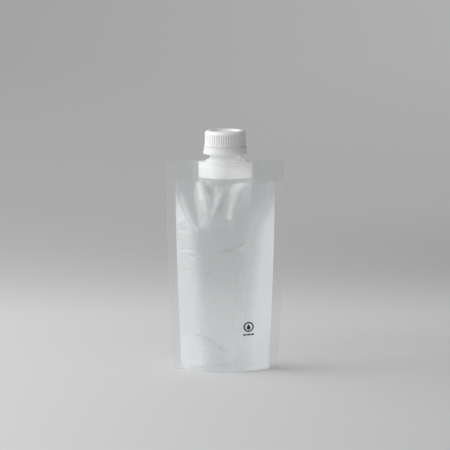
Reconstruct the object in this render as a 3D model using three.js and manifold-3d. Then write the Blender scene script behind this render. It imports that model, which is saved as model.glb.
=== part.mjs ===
// Spout pouch: a clear stand-up pouch of three film webs, with a moulded spout and a ribbed screw cap.
// Millimetres. +Z is up and the front faces -Y. The origin is on the floor, under the pouch's middle.

import * as THREE from 'three';
import { mergeVertices } from 'three/addons/utils/BufferGeometryUtils.js';
import Module from 'manifold-3d';

// Film webs
const POUCH_HEIGHT = 147;
const TOP_HALF_WIDTH = 40.85;
const BASE_HALF_WIDTH = 37;
const BASE_HALF_DEPTH = 18;
const WAIST_HALF_DEPTH = 11.4;
const FILM_THICKNESS = 0.2;
const SIDE_SEAL = 6;
const TOP_SEAL = 15;
const TENT_REACH = 5;
const SHOULDER_DROP = 37;
const PANEL_BULGE = 0.15;
const FLANK_SLOPE = 1;
const CREASE_ROUND = 5;

// Bottom gusset: its seal to the front and back webs, and the fold that arches between them
const RIM_SEAL = 6.3;
const GUSSET_SIDE_HEIGHT = 26;
const GUSSET_ARCH = 7.7;

// Spout
const BOAT_HALF_LENGTH = 18.7;
const BOAT_HALF_DEPTH = 12.4;
const BOAT_HEIGHT = 11.3;
const BOAT_DROP = 0.7;
const BOAT_TIP = 0.8;
const BOAT_WALL = 1.4;
const BOAT_CHAMFER = 0.6;
const SEAL_RIB = 0.25;
const SEAL_RIB_HEIGHT = 0.7;
const SEAL_RIB_PITCH = 2.3;
const SHOULDER_STEP = 1.1;
const SHOULDER_HEIGHT = 2.6;
const SHOULDER_HALF_LENGTH = 13.9;
const NECK_RADIUS = 10.85;
const BORE_RADIUS = 9;
const NECK_SHOWN = 3;
const BEAD_HEIGHT = 1.5;
const BEAD_REACH = 1.85;

// Tamper band
const BAND_HEIGHT = 5.1;
const BAND_TOP_RADIUS = 14.9;
const BAND_BASE_RADIUS = 15.4;
const BAND_COLLAR = 2.2;
const BAND_LIP_HEIGHT = 2.6;

// Screw cap and the wad under its deck
const CAP_HEIGHT = 10.75;
const CAP_SLIT = 0.45;
const CAP_RIB_RADIUS = 14.3;
const CAP_RIB_DEPTH = 0.35;
const CAP_RIB_COUNT = 52;
const CAP_RIB_START = 0.6;
const CAP_SHOULDER_HEIGHT = 3.1;
const CAP_RIM_RADIUS = 12.6;
const CAP_RECESS_RADIUS = 9.6;
const CAP_RECESS = 1.3;
const CAP_WALL = 1.5;
const CAP_DECK = 1.2;
const WAD_THICKNESS = 1.2;

// Screw thread, right-handed
const THREAD_STARTS = 2;
const THREAD_LEAD = 6;
const THREAD_TURNS = 0.75;
const THREAD_ROOT = 1.5;
const THREAD_CREST = 0.7;
const THREAD_RISE = 1.4;

// Clearances
const FILM_GAP = 0.3;
const RUNNING_GAP = 0.4;
const UNION_SINK = 0.5;

// Fineness of the facets
const ROUND_STEPS = 56;
const BOAT_STEPS = 44;
const THREAD_STEP = Math.PI / 9;
const FRONT_COLUMNS = 28;
const FRONT_ROWS = 28;
const BACK_COLUMNS = 22;
const BACK_ROWS = 18;
const GUSSET_COLUMNS = 20;
const GUSSET_SEAL_ROWS = 3;
const GUSSET_ARCH_ROWS = 10;

// Levels above the floor, from the film's top edge up to the cap
const topSealBase = POUCH_HEIGHT - TOP_SEAL;
const boatTop = POUCH_HEIGHT - BOAT_DROP;
const boatBase = boatTop - BOAT_HEIGHT;
const neckBase = boatTop + SHOULDER_HEIGHT;
const bandBase = neckBase + NECK_SHOWN;
const bandTop = bandBase + BAND_HEIGHT;
const lipTop = bandBase + BAND_LIP_HEIGHT;
const beadBase = lipTop + RUNNING_GAP;
const capBase = bandTop + CAP_SLIT;
const capTop = capBase + CAP_HEIGHT;
const recessFloor = capTop - CAP_RECESS;
const deckBase = recessFloor - CAP_DECK;
const mouth = deckBase - WAD_THICKNESS;

// Radii that fit one another
const beadRadius = NECK_RADIUS + BEAD_REACH;
const capWallRadius = CAP_RIB_RADIUS - CAP_RIB_DEPTH;
const capBoreRadius = capWallRadius - CAP_WALL;
const neckThreadRadius = capBoreRadius - RUNNING_GAP;
const capThreadRadius = NECK_RADIUS + RUNNING_GAP;
const wadRadius = capBoreRadius - RUNNING_GAP;

// Pressed folds of the front web, which fan out under the spout: each runs from one point to another,
// as shares of the half width and of the height, with its height and half breadth in millimetres
const FRONT_FOLDS = [
  { from: [-0.54, 0.9], to: [-0.47, 0.71], rise: -1.2, breadth: 2.8 },
  { from: [-0.42, 0.9], to: [-0.23, 0.72], rise: 1.2, breadth: 3 },
  { from: [-0.2, 0.88], to: [-0.2, 0.79], rise: -0.8, breadth: 2.4 },
  { from: [0.02, 0.87], to: [-0.23, 0.71], rise: 0.9, breadth: 2.6 },
  { from: [0.11, 0.86], to: [-0.13, 0.69], rise: -1, breadth: 2.4 },
  { from: [0.4, 0.91], to: [0.06, 0.69], rise: 1.1, breadth: 3 },
];

const wasm = await Module();
wasm.setup();

// Shares from 0 to 1 in equal steps
function shares(count) {
  return Array.from({ length: count + 1 }, (_, index) => index / count);
}

// A geometry of points alone, merged, with its faces turned out
function closed(geometry) {
  const bare = geometry.clone();
  bare.deleteAttribute('normal');
  bare.deleteAttribute('uv');
  const merged = mergeVertices(bare, 1e-4);
  const source = merged.index.array;
  const spots = merged.attributes.position;
  const corner = [new THREE.Vector3(), new THREE.Vector3(), new THREE.Vector3()];
  const faces = [];
  let volume = 0;
  for (let face = 0; face < source.length; face += 3) {
    const [a, b, c] = source.slice(face, face + 3);
    if (a === b || b === c || c === a) continue;
    [a, b, c].forEach((spot, index) => corner[index].fromBufferAttribute(spots, spot));
    volume += corner[0].dot(corner[1].clone().cross(corner[2]));
    faces.push([a, b, c]);
  }
  const turned = volume < 0 ? faces.map(([a, b, c]) => [a, c, b]) : faces;
  merged.setIndex(turned.flat());
  return merged;
}

function solid(geometry) {
  const merged = closed(geometry);
  const vertProperties = new Float32Array(merged.attributes.position.array);
  const triVerts = new Uint32Array(merged.index.array);
  return new wasm.Manifold(new wasm.Mesh({ numProp: 3, vertProperties, triVerts }));
}

function geometryOf(body) {
  const { vertProperties, triVerts } = body.getMesh();
  const geometry = new THREE.BufferGeometry();
  geometry.setAttribute('position', new THREE.BufferAttribute(vertProperties, 3));
  geometry.setIndex(new THREE.BufferAttribute(triVerts, 1));
  return geometry;
}

function indexed(points, faces) {
  const geometry = new THREE.BufferGeometry().setFromPoints(points);
  geometry.setIndex(faces);
  return closed(geometry);
}

// A closed sheet between two like grids of points, each a list of rows
function sheet(outer, inner) {
  const rows = outer.length;
  const columns = outer[0].length;
  const faces = [];
  const spot = (side, [row, column]) => (side * rows + row) * columns + column;
  const quad = (a, b, c, d) => faces.push(a, b, c, a, c, d);
  for (let row = 0; row < rows - 1; row++) {
    for (let column = 0; column < columns - 1; column++) {
      const ring = [[row, column], [row, column + 1], [row + 1, column + 1], [row + 1, column]];
      quad(...ring.map((place) => spot(0, place)));
      quad(...ring.reverse().map((place) => spot(1, place)));
    }
  }
  const border = [];
  for (let column = 0; column < columns - 1; column++) border.push([0, column]);
  for (let row = 0; row < rows - 1; row++) border.push([row, columns - 1]);
  for (let column = columns - 1; column > 0; column--) border.push([rows - 1, column]);
  for (let row = rows - 1; row > 0; row--) border.push([row, 0]);
  border.forEach((place, index) => {
    const next = border[(index + 1) % border.length];
    quad(spot(0, next), spot(0, place), spot(1, place), spot(1, next));
  });
  return indexed([...outer.flat(), ...inner.flat()], faces);
}

// A closed solid through rings of points with equal counts, from the lowest to the highest
function loft(rings) {
  const count = rings[0].length;
  const points = rings.flat();
  const faces = [];
  for (let ring = 0; ring < rings.length - 1; ring++) {
    for (let index = 0; index < count; index++) {
      const next = (index + 1) % count;
      const [a, b] = [ring * count + index, ring * count + next];
      faces.push(a, b, b + count, a, b + count, a + count);
    }
  }
  [rings[0], rings[rings.length - 1]].forEach((ring, end) => {
    const middle = ring.reduce((sum, point) => sum.add(point), new THREE.Vector3());
    points.push(middle.divideScalar(count));
    const first = end === 0 ? 0 : (rings.length - 1) * count;
    for (let index = 0; index < count; index++) {
      const [a, b] = [first + index, first + ((index + 1) % count)];
      faces.push(points.length - 1, ...(end === 0 ? [b, a] : [a, b]));
    }
  });
  return indexed(points, faces);
}

// A body turned about Z from a profile of [radius, height] points
function turned(profile, steps = ROUND_STEPS) {
  const points = profile.map(([radius, height]) => new THREE.Vector2(radius, height));
  return new THREE.LatheGeometry(points, steps).rotateX(Math.PI / 2);
}

function rod(radius, low, high) {
  return turned([[0, low], [radius, low], [radius, high], [0, high]]);
}

// Film webs

// Half the pouch's width at a height: full at the top, drawn in where the base opens out
function halfWidth(z) {
  const below = Math.max(0, 1 - z / topSealBase);
  return TOP_HALF_WIDTH - (TOP_HALF_WIDTH - BASE_HALF_WIDTH) * below ** 1.5;
}

function innerHalfWidth(z) {
  return halfWidth(z) - SIDE_SEAL;
}

// Depth of the nearly flat middle panel, from a deep base to a shallow waist
function panel(x, z) {
  const across = Math.min(1, Math.abs(x) / innerHalfWidth(z));
  const waist = topSealBase - SHOULDER_DROP / 2;
  const up = Math.min(1, z / waist);
  const middle = BASE_HALF_DEPTH - (BASE_HALF_DEPTH - WAIST_HALF_DEPTH) * up ** 1.5;
  return middle * (1 - PANEL_BULGE * across ** 2);
}

// Depth of the sloping flank beside a side seal
function flank(x, z) {
  return Math.max(0, innerHalfWidth(z) - Math.abs(x)) * FLANK_SLOPE;
}

// The lesser of two depths, with the crease between them rounded
function softLeast(a, b) {
  const blend = Math.min(CREASE_ROUND, a + b) + 1e-9;
  const near = Math.max(0, blend - Math.abs(a - b)) / blend;
  return Math.min(a, b) - (near ** 2 * blend) / 4;
}

// Depth of the boat's side at a place along it
function boatDepth(x) {
  const along = Math.min(1, Math.abs(x) / BOAT_HALF_LENGTH);
  return BOAT_TIP + (BOAT_HALF_DEPTH - BOAT_TIP) * Math.cos((along * Math.PI) / 2);
}

// Depth of the film drawn round the boat, with a small tent past each tip
function wrap(x) {
  const past = Math.max(0, Math.abs(x) - BOAT_HALF_LENGTH) / TENT_REACH;
  return (boatDepth(x) + SEAL_RIB + FILM_GAP) * (1 - THREE.MathUtils.smoothstep(past, 0, 1));
}

// Height of the pressed folds at a place on the front web, none at its seals
function relief(x, z) {
  const edge = innerHalfWidth(z) - Math.abs(x);
  const shown = THREE.MathUtils.smoothstep(edge, 0, SIDE_SEAL)
    * (1 - THREE.MathUtils.smoothstep(z, boatBase - SIDE_SEAL, boatBase));
  const place = new THREE.Vector3(x, 0, z);
  const near = new THREE.Vector3();
  let height = 0;
  for (const { from, to, rise, breadth } of FRONT_FOLDS) {
    const [start, end] = [from, to].map(
      ([across, up]) => new THREE.Vector3(across * TOP_HALF_WIDTH, 0, up * POUCH_HEIGHT),
    );
    new THREE.Line3(start, end).closestPointToPoint(place, true, near);
    height += rise * Math.exp(-((near.distanceTo(place) / breadth) ** 2));
  }
  return height * shown;
}

// Depth of a web's product side from the plane where the side seals meet
function depth(x, z, folded) {
  const drawn = THREE.MathUtils.smoothstep(z, topSealBase - SHOULDER_DROP, topSealBase);
  const plain = softLeast(THREE.MathUtils.lerp(panel(x, z), wrap(x), drawn), flank(x, z));
  return folded && plain > 0 ? Math.max(0, plain + relief(x, z)) : plain;
}

// A point on the front web, moved level along its normal: outwards for a positive offset
function filmPoint(x, z, offset, folded) {
  const step = 0.05;
  const flat = Math.abs(x) >= innerHalfWidth(z) - step;
  const slope = flat ? 0 : (depth(x + step, z, folded) - depth(x - step, z, folded)) / (2 * step);
  const normal = new THREE.Vector3(-slope, -1, 0).normalize();
  return new THREE.Vector3(x, -depth(x, z, folded), z).addScaledVector(normal, offset);
}

// Places across the web: even steps between the side seals, and each seal's outer edge
function columnPlaces(z, columns) {
  const inner = innerHalfWidth(z);
  const between = shares(columns).map((share) => (2 * share - 1) * inner);
  return [-halfWidth(z), ...between, halfWidth(z)];
}

// Heights up the web: even steps to the top seal, then the seal itself
function rowHeights(rows) {
  const below = shares(rows).map((share) => share * topSealBase);
  return [...below, (topSealBase + POUCH_HEIGHT) / 2, POUCH_HEIGHT];
}

function filmGrid(columns, rows, offset, folded) {
  return rowHeights(rows).map((z) => columnPlaces(z, columns).map((x) => filmPoint(x, z, offset, folded)));
}

// The same grid on the back of the pouch, with its columns in reverse so that its faces still turn out
function toBack(grid) {
  return grid.map((row) => row.map(({ x, y, z }) => new THREE.Vector3(x, -y, z)).reverse());
}

function frontFilm() {
  const grids = [FILM_THICKNESS, 0].map((offset) => filmGrid(FRONT_COLUMNS, FRONT_ROWS, offset, true));
  return sheet(...grids);
}

function backFilm() {
  const grids = [FILM_THICKNESS, 0].map((offset) => filmGrid(BACK_COLUMNS, BACK_ROWS, offset, false));
  return sheet(...grids.map(toBack));
}

// Height of the line where the gusset leaves the front and back webs: a valley, rounded at its foot
function gussetSealTop(share) {
  const round = 0.12;
  const up = (Math.hypot(share, round) - round) / (Math.hypot(1, round) - round);
  return RIM_SEAL + (GUSSET_SIDE_HEIGHT - RIM_SEAL) * up ** 0.8;
}

// One column of the gusset: up the front seal, over the arch, and down the back seal
function gussetColumn(share, offset) {
  const seal = gussetSealTop(share);
  const at = (z) => filmPoint(share * innerHalfWidth(z), z, -FILM_GAP - offset, false);
  const front = shares(GUSSET_SEAL_ROWS).map((part) => at(part * seal));
  const top = front[front.length - 1];
  const reach = -top.y;
  const middle = filmPoint(0, seal, -FILM_GAP, false);
  const arch = (GUSSET_ARCH * (reach + offset)) / -middle.y - offset;
  const over = shares(GUSSET_ARCH_ROWS).slice(1, -1).map((part) => {
    const turn = (part - 0.5) * Math.PI;
    return new THREE.Vector3(top.x, reach * Math.sin(turn), seal + arch * Math.cos(turn));
  });
  const back = front.map(({ x, y, z }) => new THREE.Vector3(x, -y, z)).reverse();
  return [...front, ...over, ...back];
}

function bottomGusset() {
  const least = FILM_GAP + 3 * FILM_THICKNESS;
  const reaches = (share) => depth(share * innerHalfWidth(0), 0, false) > least;
  const edge = shares(400).filter(reaches).pop();
  const places = shares(GUSSET_COLUMNS).map((share) => (2 * share - 1) * edge);
  const grids = [0, FILM_THICKNESS].map((offset) => places.map((share) => gussetColumn(share, offset)));
  return sheet(...grids);
}

// Spout

// The boat's outline at a height, grown outwards by a margin
function boatRing(z, margin) {
  return shares(BOAT_STEPS).slice(0, -1).map((share) => {
    const turn = share * 2 * Math.PI;
    const x = BOAT_HALF_LENGTH * Math.cos(turn);
    const side = Math.sign(Math.round(Math.sin(turn) * 1e6));
    const y = side * (boatDepth(x) - BOAT_TIP * (1 - Math.sqrt(Math.abs(Math.sin(turn)))));
    return new THREE.Vector3(x + margin * Math.cos(turn), y + margin * Math.sin(turn), z);
  });
}

function ovalRing(z, halfLength, halfDepth) {
  return shares(BOAT_STEPS).slice(0, -1).map((share) => {
    const turn = share * 2 * Math.PI;
    return new THREE.Vector3(halfLength * Math.cos(turn), halfDepth * Math.sin(turn), z);
  });
}

// The weld base: a boat with two fine ribs round it for the film's seal
function boat() {
  const rings = [boatRing(boatBase, -BOAT_CHAMFER), boatRing(boatBase + BOAT_CHAMFER, 0)];
  [2, 1].forEach((place) => {
    const middle = boatTop - place * SEAL_RIB_PITCH + SEAL_RIB_HEIGHT;
    rings.push(boatRing(middle - SEAL_RIB_HEIGHT, 0));
    rings.push(boatRing(middle - SEAL_RIB_HEIGHT / 3, SEAL_RIB));
    rings.push(boatRing(middle + SEAL_RIB_HEIGHT / 3, SEAL_RIB));
    rings.push(boatRing(middle + SEAL_RIB_HEIGHT, 0));
  });
  rings.push(boatRing(boatTop, -BOAT_CHAMFER / 2));
  return solid(loft(rings));
}

// The low step on the boat's top, and the flare from it up to the round neck
function shoulder() {
  const footDepth = BOAT_HALF_DEPTH - BOAT_CHAMFER;
  const rings = shares(4).map((share) => {
    const flare = (1 - share) ** 1.2;
    const halfLength = THREE.MathUtils.lerp(NECK_RADIUS, SHOULDER_HALF_LENGTH, flare);
    const halfDepth = THREE.MathUtils.lerp(NECK_RADIUS, footDepth, flare);
    const level = boatTop + THREE.MathUtils.lerp(SHOULDER_STEP, SHOULDER_HEIGHT, share);
    return ovalRing(level, halfLength, halfDepth);
  });
  return solid(loft([ovalRing(boatTop - UNION_SINK, SHOULDER_HALF_LENGTH, footDepth), ...rings]));
}

// The neck with its bead, which keeps the tamper band down
function neck() {
  const beadTop = beadBase + BEAD_HEIGHT;
  const slope = BEAD_HEIGHT / 3;
  return solid(turned([
    [0, boatTop - BOAT_CHAMFER],
    [NECK_RADIUS, boatTop - BOAT_CHAMFER],
    [NECK_RADIUS, beadBase],
    [beadRadius - slope, beadBase],
    [beadRadius, beadBase + slope],
    [NECK_RADIUS, beadTop],
    [NECK_RADIUS, mouth - slope],
    [NECK_RADIUS - slope, mouth],
    [0, mouth],
  ]));
}

// One start of a thread on a wall: inside the wall's root radius it sinks into the wall
function threadStart(rootRadius, crestRadius, startTurn, endTurn, phase, lift) {
  const inward = Math.sign(rootRadius - crestRadius);
  const count = Math.round(((endTurn - startTurn) * 2 * Math.PI) / THREAD_STEP);
  const rings = shares(count).map((share) => {
    const turns = startTurn + (endTurn - startTurn) * share;
    const fade = Math.min(1, (Math.min(share, 1 - share) * count) / 2);
    const crest = THREE.MathUtils.lerp(rootRadius + inward * 0.1, crestRadius, fade);
    const level = capBase + THREAD_RISE + lift + turns * THREAD_LEAD;
    const section = [
      [rootRadius + inward * UNION_SINK, -THREAD_ROOT / 2],
      [crest, -THREAD_CREST / 2],
      [crest, THREAD_CREST / 2],
      [rootRadius + inward * UNION_SINK, THREAD_ROOT / 2],
    ];
    const angle = turns * 2 * Math.PI + phase;
    return section.map(([radius, up]) => (
      new THREE.Vector3(radius * Math.cos(angle), radius * Math.sin(angle), level + up)
    ));
  });
  return solid(loft(rings));
}

function thread(rootRadius, crestRadius, startTurn, endTurn, lift) {
  const starts = shares(THREAD_STARTS).slice(0, -1).map((share) => (
    threadStart(rootRadius, crestRadius, startTurn, endTurn, share * 2 * Math.PI, lift)
  ));
  return starts.reduce((whole, start) => whole.add(start));
}

// The hollows moulded up into the boat's two ends, with a web left down the middle
function boatPockets() {
  const high = boatTop - BOAT_WALL;
  const hollow = solid(loft([boatRing(boatBase - 1, -BOAT_WALL), boatRing(high, -BOAT_WALL)]));
  const tube = solid(rod(NECK_RADIUS, boatBase - 2, boatTop));
  const length = 2 * BOAT_HALF_LENGTH;
  const box = new THREE.BoxGeometry(length, BOAT_WALL, 2 * BOAT_HEIGHT + 4).translate(0, 0, high);
  return hollow.subtract(tube).subtract(solid(box));
}

function spout() {
  const bore = solid(rod(BORE_RADIUS, boatBase - 1, mouth + 1));
  const body = boat().add(shoulder()).add(neck());
  const threaded = body.add(thread(NECK_RADIUS, neckThreadRadius, 0, THREAD_TURNS, 0));
  return geometryOf(threaded.subtract(bore).subtract(boatPockets()));
}

// Tamper band

function tamperBand() {
  const edge = 0.25;
  const inner = beadRadius + RUNNING_GAP;
  const lip = NECK_RADIUS + RUNNING_GAP;
  const collarTop = bandBase + BAND_COLLAR;
  const taper = (BAND_BASE_RADIUS - BAND_TOP_RADIUS) / 8;
  return turned([
    [inner, bandTop],
    [inner, lipTop + edge],
    [lip, lipTop],
    [lip, lipTop - BAND_LIP_HEIGHT / 3],
    [inner, bandBase + edge],
    [inner + edge, bandBase],
    [BAND_BASE_RADIUS - edge, bandBase],
    [BAND_BASE_RADIUS, bandBase + edge],
    [BAND_BASE_RADIUS - taper, collarTop - edge],
    [BAND_TOP_RADIUS + taper, collarTop + edge],
    [BAND_TOP_RADIUS, bandTop - edge],
    [BAND_TOP_RADIUS - edge, bandTop],
    [inner, bandTop],
  ]);
}

// Screw cap

// The cap's cup, from the middle of its deck's underside out and round to the middle of its top
function capCup() {
  const edge = 0.3;
  const shoulderBase = capTop - CAP_SHOULDER_HEIGHT;
  const shoulderCurve = shares(5).map((share) => {
    const turn = (share * Math.PI) / 2;
    return [
      CAP_RIM_RADIUS - edge + (capWallRadius - CAP_RIM_RADIUS + edge) * Math.cos(turn),
      shoulderBase + CAP_SHOULDER_HEIGHT * Math.sin(turn),
    ];
  });
  return solid(turned([
    [0, deckBase],
    [capBoreRadius, deckBase],
    [capBoreRadius, capBase],
    [capWallRadius - edge, capBase],
    [capWallRadius, capBase + edge],
    ...shoulderCurve,
    [CAP_RECESS_RADIUS + CAP_RECESS / 2, capTop],
    [CAP_RECESS_RADIUS, recessFloor],
    [0, recessFloor],
  ]));
}

// The ring of fine grip ribs round the cap
function gripRing() {
  const outline = new THREE.Shape();
  const pitch = (2 * Math.PI) / CAP_RIB_COUNT;
  const root = capWallRadius + CAP_RIB_DEPTH / 8;
  for (let rib = 0; rib < CAP_RIB_COUNT; rib++) {
    const corners = [[-0.32, root], [-0.17, CAP_RIB_RADIUS], [0.17, CAP_RIB_RADIUS], [0.32, root]];
    corners.forEach(([turn, radius], index) => {
      const angle = (rib + turn) * pitch;
      const place = [radius * Math.cos(angle), radius * Math.sin(angle)];
      if (rib + index === 0) outline.moveTo(...place);
      else outline.lineTo(...place);
    });
  }
  outline.holes.push(new THREE.Path().absarc(0, 0, capWallRadius - CAP_WALL / 2, 0, 2 * Math.PI, true));
  const length = CAP_HEIGHT - CAP_SHOULDER_HEIGHT - CAP_RIB_START;
  const ring = new THREE.ExtrudeGeometry(outline, { depth: length, bevelEnabled: false, curveSegments: 24 });
  return solid(ring.translate(0, 0, capBase + CAP_RIB_START));
}

function screwCap() {
  const pitch = THREAD_LEAD / THREAD_STARTS;
  const inside = thread(capBoreRadius, capThreadRadius, 0.3, THREAD_TURNS + 0.1, -pitch / 2);
  return geometryOf(capCup().add(gripRing()).add(inside));
}

function sealingWad() {
  return rod(wadRadius, mouth, deckBase);
}

// Finishes

const clearFilm = { color: 0xe8ecee, roughness: 0.12, metalness: 0, transparent: true, opacity: 0.3 };
const whiteMoulding = { color: 0xf1f1ee, roughness: 0.42, metalness: 0 };
const whiteFoam = { color: 0xe9e9e4, roughness: 0.8, metalness: 0 };

const pouch = new THREE.Group();

function piece(name, geometry, finish) {
  const mesh = new THREE.Mesh(geometry, new THREE.MeshStandardMaterial(finish));
  mesh.name = name;
  pouch.add(mesh);
}

piece('front_film', frontFilm(), clearFilm);
piece('back_film', backFilm(), clearFilm);
piece('bottom_gusset', bottomGusset(), clearFilm);
piece('spout', spout(), whiteMoulding);
piece('tamper_band', tamperBand(), whiteMoulding);
piece('sealing_wad', sealingWad(), whiteFoam);
piece('screw_cap', screwCap(), whiteMoulding);

export default pouch;
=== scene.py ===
"""Looks of the spout pouch: clear film webs with pressed folds, a white spout and a ribbed cap.

The forms repeat the construction's formulas in millimetres, and each mesh is written in metres.
"""

import math

import bmesh
import bpy
import numpy as np
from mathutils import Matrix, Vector

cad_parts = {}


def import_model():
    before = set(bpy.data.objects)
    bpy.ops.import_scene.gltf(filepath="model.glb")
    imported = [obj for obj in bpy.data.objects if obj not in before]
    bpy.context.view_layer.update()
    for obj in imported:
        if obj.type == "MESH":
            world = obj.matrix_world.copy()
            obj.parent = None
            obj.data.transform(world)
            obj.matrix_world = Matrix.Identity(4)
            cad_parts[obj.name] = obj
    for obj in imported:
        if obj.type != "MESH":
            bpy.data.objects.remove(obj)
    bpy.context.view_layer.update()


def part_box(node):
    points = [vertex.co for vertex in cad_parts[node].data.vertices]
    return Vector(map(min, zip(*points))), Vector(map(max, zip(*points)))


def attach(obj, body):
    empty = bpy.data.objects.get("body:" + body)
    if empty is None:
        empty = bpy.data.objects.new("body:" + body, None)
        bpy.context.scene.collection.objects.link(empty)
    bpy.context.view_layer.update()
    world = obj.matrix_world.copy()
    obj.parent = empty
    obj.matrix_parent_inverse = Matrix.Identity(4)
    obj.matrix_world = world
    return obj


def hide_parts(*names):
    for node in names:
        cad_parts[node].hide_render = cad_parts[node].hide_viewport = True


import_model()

MM = 0.001

# Film webs
POUCH_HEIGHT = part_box("front_film")[1][2] / MM
TOP_HALF_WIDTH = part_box("front_film")[1][0] / MM
BASE_HALF_WIDTH = 37.0
BASE_HALF_DEPTH = 18.0
WAIST_HALF_DEPTH = 11.4
FILM_THICKNESS = 0.2
SIDE_SEAL = 6.0
TOP_SEAL = 15.0
TENT_REACH = 5.0
SHOULDER_DROP = 37.0
PANEL_BULGE = 0.15
FLANK_SLOPE = 1.0
CREASE_ROUND = 5.0
TAPER_POWER = 1.5
FOLD_TAPER = 0.45

# Bottom gusset
RIM_SEAL = 6.3
GUSSET_SIDE_HEIGHT = 26.0
GUSSET_ARCH = 7.7
GUSSET_ROUNDING = 0.12
GUSSET_RISE_POWER = 0.8

# Spout
BOAT_HALF_LENGTH = 18.7
BOAT_HALF_DEPTH = 12.4
BOAT_HEIGHT = 11.3
BOAT_DROP = 0.7
BOAT_TIP = 0.8
BOAT_WALL = 1.4
BOAT_CHAMFER = 0.6
SEAL_RIB = 0.25
SEAL_RIB_HEIGHT = 0.7
SEAL_RIB_PITCH = 2.3
SHOULDER_STEP = 1.1
SHOULDER_HEIGHT = 2.6
SHOULDER_HALF_LENGTH = 13.9
SHOULDER_EDGE = 0.2
SHOULDER_START = 0.08
SHOULDER_FLARE = 1.2
NECK_RADIUS = 10.85
BORE_RADIUS = 9.0
NECK_SHOWN = 3.0
BEAD_HEIGHT = 1.5
BEAD_REACH = 1.85

# Tamper band
BAND_HEIGHT = 5.1
BAND_TOP_RADIUS = 14.9
BAND_BASE_RADIUS = 15.4
BAND_COLLAR = 2.2
BAND_LIP_HEIGHT = 2.6
BAND_EDGE = 0.25
BAND_CORNER = 0.3
BAND_TAPER = 0.125

# Cap and wad
CAP_HEIGHT = 10.75
CAP_SLIT = 0.45
SLIT_CLOSED = 0.15
CAP_RIB_RADIUS = 14.3
CAP_RIB_DEPTH = 0.35
CAP_RIB_COUNT = 52
CAP_RIB_START = 0.6
CAP_SHOULDER_HEIGHT = 3.1
CAP_RIM_RADIUS = 12.6
CAP_RECESS_RADIUS = 9.6
CAP_RECESS = 1.3
CAP_WALL = 1.5
CAP_DECK = 1.2
WAD_THICKNESS = 1.2
WAD_EDGE = 0.25

# The cap's finer form. The recess has steps in radius and height, from its lip and from its foot.
CAP_EDGE = 0.3
CAP_DECK_CHAMFER = 0.3
CAP_FOOT_CHAMFER = 0.2
CAP_SKIRT = 0.3
CAP_SKIRT_HEIGHT = 2.2
RIB_FOOT = 0.5
RIB_HEAD = 0.9
RIB_WALL_INSIDE = 0.5
RIB_WALL_OUTSIDE = 0.4
GROOVE_SPAN = (0.05, 0.55)
GROOVE_EXTRA = 0.5
RECESS_LIP = ((0.25, 0.0), (0.0, -0.12))
RECESS_FOOT = ((0.12, 0.3), (-0.1, 0.08), (-0.4, 0.0))

# Screw thread
THREAD_STARTS = 2
THREAD_LEAD = 6.0
THREAD_TURNS = 0.75
THREAD_ROOT = 1.5
THREAD_CREST = 0.7
THREAD_RISE = 1.4
THREAD_FOOT = 0.1
CAP_THREAD_START = 0.3
CAP_THREAD_RUN_ON = 0.1

# Clearances
FILM_GAP = 0.3
RUNNING_GAP = 0.4
UNION_SINK = 0.5
CUT_OVERRUN = 1

# Levels and radii that follow from these
TOP_SEAL_BASE = POUCH_HEIGHT - TOP_SEAL
BOAT_TOP = POUCH_HEIGHT - BOAT_DROP
BOAT_BASE = BOAT_TOP - BOAT_HEIGHT
NECK_BASE = BOAT_TOP + SHOULDER_HEIGHT
BAND_BASE = NECK_BASE + NECK_SHOWN
BAND_TOP = BAND_BASE + BAND_HEIGHT
LIP_TOP = BAND_BASE + BAND_LIP_HEIGHT
BEAD_BASE = LIP_TOP + RUNNING_GAP
CAP_BASE = BAND_TOP + CAP_SLIT
CAP_TOP = CAP_BASE + CAP_HEIGHT
RECESS_FLOOR = CAP_TOP - CAP_RECESS
DECK_BASE = RECESS_FLOOR - CAP_DECK
MOUTH = DECK_BASE - WAD_THICKNESS
BEAD_RADIUS = NECK_RADIUS + BEAD_REACH
CAP_WALL_RADIUS = CAP_RIB_RADIUS - CAP_RIB_DEPTH
CAP_BORE_RADIUS = CAP_WALL_RADIUS - CAP_WALL
NECK_THREAD_RADIUS = CAP_BORE_RADIUS - RUNNING_GAP
CAP_THREAD_RADIUS = NECK_RADIUS + RUNNING_GAP
WAD_RADIUS = CAP_BORE_RADIUS - RUNNING_GAP

# The construction's folds of the front web: from, to, rise and half breadth. The places are shares
# of the pouch's half width and height, and the rest is in millimetres.
FRONT_FOLDS = [
    ((-0.54, 0.9), (-0.47, 0.71), -1.2, 2.8),
    ((-0.42, 0.9), (-0.23, 0.72), 1.2, 3.0),
    ((-0.2, 0.88), (-0.2, 0.79), -0.8, 2.4),
    ((0.02, 0.87), (-0.23, 0.71), 0.9, 2.6),
    ((0.11, 0.86), (-0.13, 0.69), -1.0, 2.4),
    ((0.4, 0.91), (0.06, 0.69), 1.1, 3.0),
]

# Finer creases and dents that only the looks have, in the same measures
FINE_FOLDS = [
    ((-0.05, 0.574), (0.2, 0.585), -0.6, 1.2),
    ((0.2, 0.585), (0.37, 0.62), -1.0, 1.2),
    ((-0.78, 0.668), (-0.66, 0.668), -0.35, 0.9),
    ((-0.78, 0.575), (-0.56, 0.58), -0.25, 0.8),
    ((-0.58, 0.55), (-0.5, 0.535), -0.3, 0.9),
    ((0.47, 0.56), (0.53, 0.57), -0.25, 0.9),
    ((-0.7, 0.475), (-0.64, 0.48), -0.25, 0.9),
    ((-0.32, 0.475), (-0.18, 0.49), -0.2, 1.0),
]

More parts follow.
